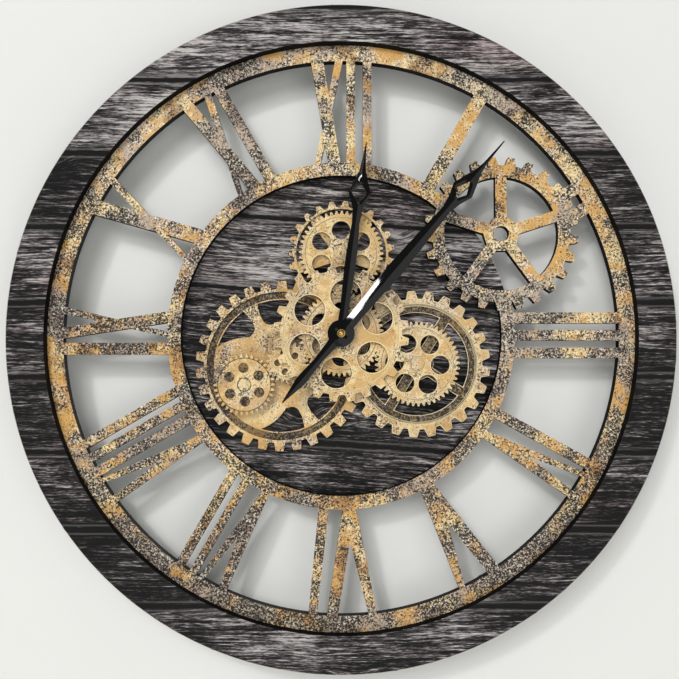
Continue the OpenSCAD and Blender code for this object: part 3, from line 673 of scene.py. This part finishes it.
NUMERALS = {  # hour: (strokes, V with its notch or None)
    12: (ex(-22.7, -5.8, 11.3, -1.5, -21.3) + [bar(8.8, 7.9), bar(23.8, 7.9)], None),
    1: ([bar(2, 12.6)], None),
    3: ([bar(-15, 10), bar(0.8, 9.6), bar(16.8, 9.6)], None),
    4: ([stroke(-10.2, -8.4, 9.8, 9.4)], vee([-2.4, 25], [10, 16.8], [2.4, 18], [11, 202])),
    5: ([], vee([-19, 23], [-4.5, 8], [-7, 17], [2, 194])),
    6: ([stroke(25.8, 15.5, 7.8, 9.2)], vee([-33, 13], [-13, -1.5], [-25, 3], [-8, 186])),
    7: ([bar(8, 7.4), bar(21.8, 8.4)], vee([-26.4, 2], [-15.6, -9.4], [-19, -3], [-10.6, 204])),
    8: ([bar(2.4, 9), bar(16, 8), bar(29.5, 8.6)],
        vee([-30.4, -4], [-21.8, -15], [-23.6, -8.6], [-17.6, 202])),
    9: ([bar(-13, 10.8)] + ex(1, 16, 10.2, 22.8, -0.5), None),
    10: (ex(-11.8, 13, 14, 18.2, -11), None),
    11: (ex(-17.5, -0.3, 11, 4.6, -15.8) + [bar(15.5, 10.2)], None),
}


def toothed(count, root, tip, root_w, tip_w, phase):
    """A gear outline of straight-sided teeth: four points for each tooth, at the root and tip radii."""
    a = math.radians(phase) + np.arange(count)[:, None] * TURN / count
    half = np.array([math.asin(root_w / 2 / root), math.asin(tip_w / 2 / tip)])
    angle = a + np.array([-half[0], -half[1], half[1], half[0]])
    radius = np.array([root, tip, tip, root])
    return np.stack([radius * np.cos(angle), radius * np.sin(angle)], -1).reshape(-1, 2)


def plate_outlines():
    """Every outline that the plate's edge can follow, and a test of which points lie in the board."""
    rings = [circle(r, ROUND) for r in (RIM_R, OPENING_R, INNER_R, INNER_BORE)]
    gear = toothed(GEAR_TEETH, GEAR_ROOT, GEAR_TIP, TOOTH_ROOT_W, TOOTH_TIP_W, FIRST_TOOTH) + GEAR_AXIS
    gear_hole = circle(GEAR_BORE, 144, GEAR_AXIS)
    cleared = circle(GEAR_ROOT - 1, 144, GEAR_AXIS)
    hub = circle(HUB_R, 10, GEAR_AXIS)
    pin_hole = circle(PIN_R, 64, GEAR_AXIS)
    end, half = SPOKE_LENGTH, SPOKE_HALF_W
    spoke = [[0, -half], [end, -half], [end, half], [0, half]]
    spokes = [turned_by(spoke, 90 + 360 / SPOKES * i) + GEAR_AXIS for i in range(SPOKES)]
    # two stubs join the gear's teeth to the rim, where the numeral for two would stand
    stubs = [turned_by([[left, low], [left + 11, low], [left + 11, TOP], [left, TOP]], -2 * HOUR_TURN)
             for left, low in ((-14, 234), (6, 232))]
    solid, notches = [], []
    for hour, (strokes, v) in NUMERALS.items():
        solid += [(turned_by(line, -HOUR_TURN * hour), None) for line in strokes]
        if v:
            solid.append([turned_by(line, -HOUR_TURN * hour) for line in v])
            notches.append(solid[-1][1])

    def in_board(points):
        r = np.hypot(points[:, 0], points[:, 1])
        rim = (r < RIM_R) & (r > OPENING_R)
        ring = (r < INNER_R) & (r > INNER_BORE) & ~inside(cleared, points)
        wheel = (inside(gear, points) & ~inside(gear_hole, points)) | inside(hub, points)
        for spoke in spokes:
            wheel |= inside(spoke, points)
        wheel &= ~inside(pin_hole, points)
        for stub in stubs:
            wheel |= inside(stub, points) & (r < OPENING_R)
        letters = np.zeros(len(points), bool)
        for outline, gap in solid:
            hit = inside(outline, points)
            letters |= hit & ~inside(gap, points) if gap is not None else hit
        return rim | ring | wheel | (letters & (r > INNER_R) & (r < OPENING_R))

    outlines = [*rings, gear, gear_hole, cleared, hub, pin_hole, *spokes, *stubs,
                *[o for o, _ in solid], *notches]
    return outlines, in_board


def numeral_plate():
    """The gold board, sawn from a sheet: all outlines cross in one constrained triangulation, the triangles
    whose middles are in the board stay, and they are given the board's thickness and cut corners."""
    outlines, in_board = plate_outlines()
    back, front = -plate_high[1], -plate_low[1]
    corners = [Vector(p) for o in outlines for p in np.asarray(o, float)]
    sides, start = [], 0
    for o in outlines:
        sides += [(start + i, start + (i + 1) % len(o)) for i in range(len(o))]
        start += len(o)
    flat, _, triangles, *_ = delaunay_2d_cdt(corners, sides, [], 0, 1e-4)
    points = np.array([tuple(p) for p in flat])
    kept = np.array([t for t in triangles if len(t) == 3])
    kept = kept[in_board(points[kept].mean(1))]
    mesh = bpy.data.meshes.new("numeral_plate")
    sheet = np.stack([points[:, 0], np.full(len(points), -back), points[:, 1]], -1)
    mesh.from_pydata(sheet * MM, [], kept.tolist())
    bm = bmesh.new()
    bm.from_mesh(mesh)
    bmesh.ops.delete(bm, geom=[v for v in bm.verts if not v.link_faces], context="VERTS")
    bmesh.ops.dissolve_limit(bm, angle_limit=math.radians(FLAT_DEG), verts=bm.verts, edges=bm.edges)
    lifted = bmesh.ops.extrude_face_region(bm, geom=bm.faces[:])["geom"]
    bmesh.ops.translate(bm, verts=[g for g in lifted if isinstance(g, bmesh.types.BMVert)],
                        vec=(0, -(front - back) * MM, 0))
    bmesh.ops.recalc_face_normals(bm, faces=bm.faces)
    bm.to_mesh(mesh)
    bm.free()
    cut_edges(mesh, PLATE_CORNER, 40)
    nodes = ["numeral_rim", "inner_ring", "dial_gear"] + [f"numeral_{h}" for h in NUMERALS]
    finish_piece(linked("numeral_plate", mesh), "frame", [gold_leaf, black_cut], nodes)
    mark_walls(mesh)


plate_low, plate_high = span("numeral_rim")
numeral_plate()

# ---------- gears ----------
COARSE = {"centre_wheel_front": 49.2, "top_ring_wheel": 36, "right_ring_wheel": 37.6, "left_bracket": 32.5}
FINE = ("centre_wheel_rear", "top_wheel", "right_wheel", "idler_wheel", "left_wheel")
POSTS = ("top_axle", "right_post", "left_post", "idler_post")
FINE_FLOOR, POST_FLOOR = 43.7, 1  # front faces under these heights, and each coarse wheel's own, are sunk
for wheel, floor in COARSE.items():
    eased(wheel, 0.5, gear_cream, floor)
for wheel in FINE:
    eased(wheel, 0.2, gear_cream, FINE_FLOOR)
for post in POSTS:
    eased(post, 0.3, gear_cream, POST_FLOOR)

# ---------- hands ----------
# half widths: (distance from the axis, half width)
HOUR_LINE = [[0, 4.6], [24, 3.9], [59.5, 5], [81, 4.6], [99, 3.4], [113, 4.6], [126.7, 10.2], [136.5, 6.4],
             [146.5, 3], [158.5, 1.5], [173, 0.4]]
MINUTE_LINE = [[-80, 0.5], [-54.5, 4.7], [-33.5, 3.4], [-16, 4.4], [0, 6], [16, 5.2], [40.5, 5.7], [75, 7.1],
               [117, 5.3], [144.5, 3.9], [156.5, 6.5], [167.3, 10.5], [179, 6.7], [188, 3.4], [198, 1.6],
               [225, 0.5]]


HAND_EDGE = 0.9  # the sheet's thickness at the hands' edges


def pressed_hand(name, node, line, hub_r, bore_r, window, clockwise, slope, cap):
    """A pressed hand. At a distance u along it, the half width is the larger of the line's and the hub's
    circle; the inner half width is the larger of the window's and the bore's, or none. Across each half the
    face rises from its edge by the slope at u times the distance to the nearest edge, up to cap, so that it
    meets its other half in a ridge, and each arm beside the window has a ridge of its own."""
    line, window, slope = (np.array(table, float) for table in (line, window, slope))
    ends = line[[0, -1], 0]
    u = np.unique(np.round(np.concatenate([
        line[:, 0], window[:, 0], hub_r * np.cos(np.linspace(0, math.pi, 33)),
        bore_r * np.cos(np.linspace(0, math.pi, 17)), np.linspace(*ends, 60)]), 4))
    u = u[(u >= ends[0]) & (u <= ends[1]) | (np.abs(u) <= hub_r)]
    within = (u >= ends[0]) & (u <= ends[1])
    hub = np.sqrt(np.maximum(hub_r**2 - u**2, 1e-4))
    outer = np.maximum(np.interp(u, line[:, 0], line[:, 1]) * within, hub)
    inner = np.maximum(np.interp(u, window[:, 0], window[:, 1], left=0, right=0),
                       np.sqrt(np.maximum(bore_r**2 - u**2, 0)))
    share = np.array([0, 0.25, 0.5, 0.75, 1.0])
    x = inner[:, None] + (outer - inner)[:, None] * share
    to_outer, to_inner = outer[:, None] - x, x - inner[:, None]
    gap = np.where(inner[:, None] > 1e-6, np.minimum(to_inner, to_outer), to_outer)
    back = -span(node)[1][1]
    top = back + HAND_EDGE + np.minimum(np.interp(u, slope[:, 0], slope[:, 1])[:, None] * gap, cap)
    section_x = np.concatenate([inner[:, None], x, outer[:, None]], 1)
    section_h = np.concatenate([np.full((len(u), 1), back), top, np.full((len(u), 1), back)], 1)
    columns = section_x.shape[1]
    verts, faces = [], []
    for side in (1, -1):
        flat = turned_by(np.stack([(side * section_x).ravel(), np.repeat(u, columns)], -1), -clockwise)
        verts.append(np.stack([flat[:, 0], -section_h.ravel(), flat[:, 1]], -1))
        quads = grid_faces(len(u), columns, False, True)
        row, column = np.divmod(np.arange(len(quads)), columns)
        hidden = (column == 0) & (inner[row] < 1e-6) & (inner[np.minimum(row + 1, len(u) - 1)] < 1e-6)
        faces += (quads[~hidden] + (side < 0) * len(flat)).tolist()
        faces += [list(np.arange(columns) + i * columns + (side < 0) * len(flat)) for i in (0, len(u) - 1)]
    piece = new_piece(name, np.concatenate(verts), faces, body_of_node(node), gloss_black, [node],
                      12)
    normals, _ = face_arrays(piece.data)
    mark_faces(piece.data, "edge", np.abs(normals[:, 1]) < 0.2)


pressed_hand("hour_hand_pressed", "hour_hand", HOUR_LINE, hub_r=10, bore_r=2.95, clockwise=7.5, cap=1.3,
             window=[[116.3, 0], [126.2, 6.9], [136.5, 0]], slope=[[0, 0.2], [108, 0.2], [114, 0.27]])
pressed_hand("minute_hand_pressed", "minute_hand", MINUTE_LINE, hub_r=12, bore_r=1.5, clockwise=40.3, cap=1.5,
             window=[[157, 0], [165.8, 5.5], [177.2, 0]],
             slope=[[10, 0.16], [14, 0.28], [60, 0.28], [66, 0.17]])

# ---------- cap, nut and bush ----------
def cap_dome():
    """The cap nut: a plain collar under a dome whose radius and height follow a quarter turn of cosine and
    sine. Its middle is hollow for 1.2 mm from behind."""
    low, high = span("cap_nut")
    back, top = -high[1], -low[1]
    dome_r, dome_foot, pole_r = 3.0, back + 1.65, 0.001
    collar = [(1.5, back), (3.45, back), (3.6, back + 0.2), (3.6, back + 1.3), (3.4, back + 1.5),
              (3.05, back + 1.55)]
    dome = [(dome_r * math.cos(t) + pole_r, dome_foot + (top - dome_foot) * math.sin(t))
            for t in np.linspace(0, math.pi / 2, 9)]
    hollow = [(pole_r, back + 1.2), (1.5, back + 1.2)]
    turned("cap_dome", collar + dome + hollow, body_of_node("cap_nut"), turned_brass, ["cap_nut"],
           96)


cap_dome()
eased("bush_nut", 0.3, turned_brass)


# ---------- screws ----------
def cross_screws(node, name, head_r, spots, seat, thick):
    """Pan heads that face the wall, from a seat so many millimetres off it. Over a polar grid, with r near 0
    at the middle and 1 at the rim, a head stands out by thick * (0.55 + 0.45 * sqrt(1 - r^4)), less a cross
    recess 0.62 mm deep. The recess fades out from 0.39 to 0.55 mm off an arm's middle line and from 1.55
    to 1.8 mm along it."""
    count = 72
    j = np.arange(count)
    a = np.linspace(0, TURN, count, endpoint=False)
    radii = np.linspace(0.02, 1, 22)
    r, t = np.meshgrid(radii, a, indexing="ij")
    x, z = head_r * r * np.cos(t), head_r * r * np.sin(t)
    near, far = np.minimum(np.abs(x), np.abs(z)), np.maximum(np.abs(x), np.abs(z))
    recess = np.clip((0.55 - near) / 0.16, 0, 1) * np.clip((1.8 - far) / 0.25, 0, 1)
    rise = thick * (0.55 + 0.45 * np.sqrt(np.clip(1 - r**4, 0, 1))) - 0.62 * recess
    rim = (len(radii) - 1) * count
    following = (j + 1) % count
    skirt_faces = np.stack([rim + j, rim + following, rim + count + following, rim + count + j], -1)
    quads = np.concatenate([grid_faces(len(radii), count, False, True), skirt_faces])
    verts, faces = [], []
    for number, (px, pz) in enumerate(spots):
        start = number * (len(radii) + 1) * count
        verts.append(np.stack([px + x, -(seat - rise), pz + z], -1).reshape(-1, 3))
        verts.append(np.stack([px + head_r * np.cos(a), np.full(count, -seat), pz + head_r * np.sin(a)], -1))
        faces += (quads + start).tolist()
        faces += [list(j + start), list(rim + count + j + start)]
    new_piece(name, np.concatenate(verts), faces, body_of_node(node), plated_steel, [node], 25)


COVER_SCREWS = [(-45, -33), (45, -33), (-45, 97), (0, 37)]
CASE_SCREWS = [(-59, -26), (59, -26), (-59, 90), (59, 90)]
cross_screws("cover_screws", "cover_screw_heads", 3.0, COVER_SCREWS, 1.2, 1.0)
cross_screws("case_screws", "case_screw_heads", 3.0, CASE_SCREWS, 21.5, 1.7)


# ---------- cells ----------
CELL_PROFILE = np.array([  # (distance from the base, radius)
    [0, 0.01], [0, 4.6], [0.15, 4.8], [0.15, 6.2], [0.5, 6.9], [1.2, 7.0], [2.2, 7.0], [33, 7.0],
    [33.2, 7.0], [47.6, 7.0], [48.4, 6.8], [48.7, 6.2], [48.7, 4.6], [49, 3.2], [49, 2.7],
    [49.7, 2.6], [50, 2.3], [50, 0.01]])
CELL_R = 7
JACKET_FROM, JACKET_TO, BAND_FROM = 0.9, 48.2, 34  # the printed jacket, and its band, along the cell


def dry_cells(name, node, bases, upright):
    """Round cells: the profile of a can with crimped shoulders, a nub and a flat base, carried round an axis
    that runs from each base along X, or up Z where the cells are upright."""
    count, rows = 64, len(CELL_PROFILE)
    a = np.linspace(0, TURN, count, endpoint=False)[:, None]
    along, radius = (np.broadcast_to(column, (count, rows)) for column in CELL_PROFILE.T)
    can = np.stack([along, radius * np.cos(a), radius * np.sin(a)], -1).reshape(-1, 3)
    if upright:
        can = can[:, [1, 2, 0]]
    quads = grid_faces(count, rows, True, False)
    verts, faces = [], []
    for number, base in enumerate(bases):
        start = number * len(can)
        verts.append(can + np.array(base))
        faces += (quads + start).tolist()
        ends = np.arange(count) * rows + start
        faces += [list(ends), list(ends + rows - 1)]
    piece = new_piece(name, np.concatenate(verts), faces, "frame", cell_skin, [node], 30)
    _, centres = face_arrays(piece.data)
    lengthways = 2 if upright else 0
    along = centres[:, lengthways] - bases[0][lengthways]
    ends = (along < JACKET_FROM) | (along > JACKET_TO)
    mark_faces(piece.data, "metal", ends)
    mark_faces(piece.data, "band", (along > BAND_FROM) & ~ends)


cell_low, cell_high = span("movement_cell")
_, cell_y, cell_z = (cell_low + cell_high) / 2
dry_cells("movement_dry_cell", "movement_cell", [(cell_low[0], cell_y, cell_z)], False)
pair_low, pair_high = span("drive_cells")
pair_y = (pair_low[1] + pair_high[1]) / 2
dry_cells("drive_dry_cells", "drive_cells",
          [(x, pair_y, pair_low[2]) for x in (pair_low[0] + CELL_R, pair_high[0] - CELL_R)], True)

# ---------- rear case ----------
CASE_CORNERS = {
    case_black: {"rear_case": 0.6, "rear_cover": 0.4, "movement_case": 0.4, "movement_cover": 0.25},
    knob_grey: {"battery_door": 0.3, "setting_knob": 0.15, "slide_switch": 0.3},
}
for skin, corners in CASE_CORNERS.items():
    for node, width in corners.items():
        eased(node, width, skin)
eased("hanger_plate", 0.2, plated_steel)
eased("wall_pads", 1.0, pad_rubber)
eased("gear_motor", 0.5, plated_steel)

# ---------- CAD nodes that stay as they are ----------
KEPT = {
    turned_brass: ["centre_sleeve", "top_bearing", "movement_bush", "minute_arbor", "hour_wheel"],
    plated_steel: ["bush_washer", "cell_springs", "motion_post", "drive_contacts"],
    coil_wire: ["drive_coil"], board_mask: ["circuit_board"], acetal: ["motion_wheel"],
}
for skin, nodes in KEPT.items():
    for node in nodes:
        target = frame["nodes"][node]
        target.data.materials.clear()
        target.data.materials.append(skin)

# ---------- wall, light and camera ----------
WALL_HALF, FLOOR_DROP, WALL_GAP = 4.0, 1.3, 0.0004


def wall_paint():
    """Pale matt paint that is clear from behind and to shadow rays, so that it hides and shades nothing."""
    made = bpy.data.materials.new("wall_paint")
    made.use_nodes = True
    net = Net(made.node_tree)
    shader = made.node_tree.nodes["Principled BSDF"]
    shader.inputs["Roughness"].default_value = 0.9
    cloud = net.noise(net.add("TexCoord").outputs["Object"], 3.0, 3.0)
    net.feed(shader.inputs["Base Color"], net.mix(cloud, rgb(232, 232, 229), rgb(238, 238, 235)))
    clear = net.math("MAXIMUM", net.add("NewGeometry").outputs["Backfacing"],
                     net.add("LightPath").outputs["Is Shadow Ray"])
    nothing = net.add("BsdfTransparent").outputs[0]
    mixed = net.add("MixShader", [(0, clear), (1, shader.outputs[0]), (2, nothing)])
    net.feed(made.node_tree.nodes["Material Output"].inputs[0], mixed.outputs[0])
    return made


def studio_wall():
    """The wall behind the clock and the floor in front of it, as two quads that share an edge."""
    floor, top, front = -FLOOR_DROP, WALL_HALF, -WALL_HALF
    mesh = bpy.data.meshes.new("studio_wall")
    mesh.from_pydata([(-WALL_HALF, WALL_GAP, floor), (WALL_HALF, WALL_GAP, floor), (WALL_HALF, WALL_GAP, top),
                      (-WALL_HALF, WALL_GAP, top), (-WALL_HALF, front, floor), (WALL_HALF, front, floor)],
                     [], [(0, 1, 2, 3), (4, 5, 1, 0)])
    mesh.materials.append(wall_paint())
    linked("studio_wall", mesh)


def soft_light(name, place, size, power):
    """A round lamp that looks at the clock's axis."""
    data = bpy.data.lights.new(name, "AREA")
    data.shape, data.size, data.energy = "DISK", size, power
    lamp = linked(name, data)
    lamp.location = place
    lamp.rotation_euler = (-Vector(place)).to_track_quat("-Z", "Y").to_euler()
    return lamp


studio_wall()
key = soft_light("key", (-1.1, -4.1, 1.5), 2.4, 83)
key.visible_glossy = False  # it would turn the lacquered hands grey
soft_light("glint", (-1.6, -3.67, 1.85), 0.42, 30)
soft_light("fill", (1.1, -3.0, -0.4), 2.2, 15)
soft_light("back", (0.9, 1.7, 0.9), 1.2, 22)
world = bpy.data.worlds.new("studio")
bpy.context.scene.world = world
world.use_nodes = True
sky = world.node_tree.nodes["Background"].inputs
sky["Color"].default_value = (1.0, 1.0, 0.97, 1.0)
sky["Strength"].default_value = 0.28
bpy.context.scene.view_settings.view_transform = "Standard"

DISTANCE, LOOK_UP = 0.747, math.radians(2.55)
FRAME_WIDTH, SENSOR = 0.6133, 36.0
AIM = Vector((-0.00145, plate_low[1] * MM, -0.00465))
camera_data = bpy.data.cameras.new("camera")
camera_data.sensor_width = SENSOR
camera_data.lens = SENSOR * DISTANCE / FRAME_WIDTH
camera = linked("camera", camera_data)
camera.location = AIM + Vector((0, -math.cos(LOOK_UP), -math.sin(LOOK_UP))) * DISTANCE
camera.rotation_euler = (AIM - camera.location).to_track_quat("-Z", "Y").to_euler()
bpy.context.scene.camera = camera
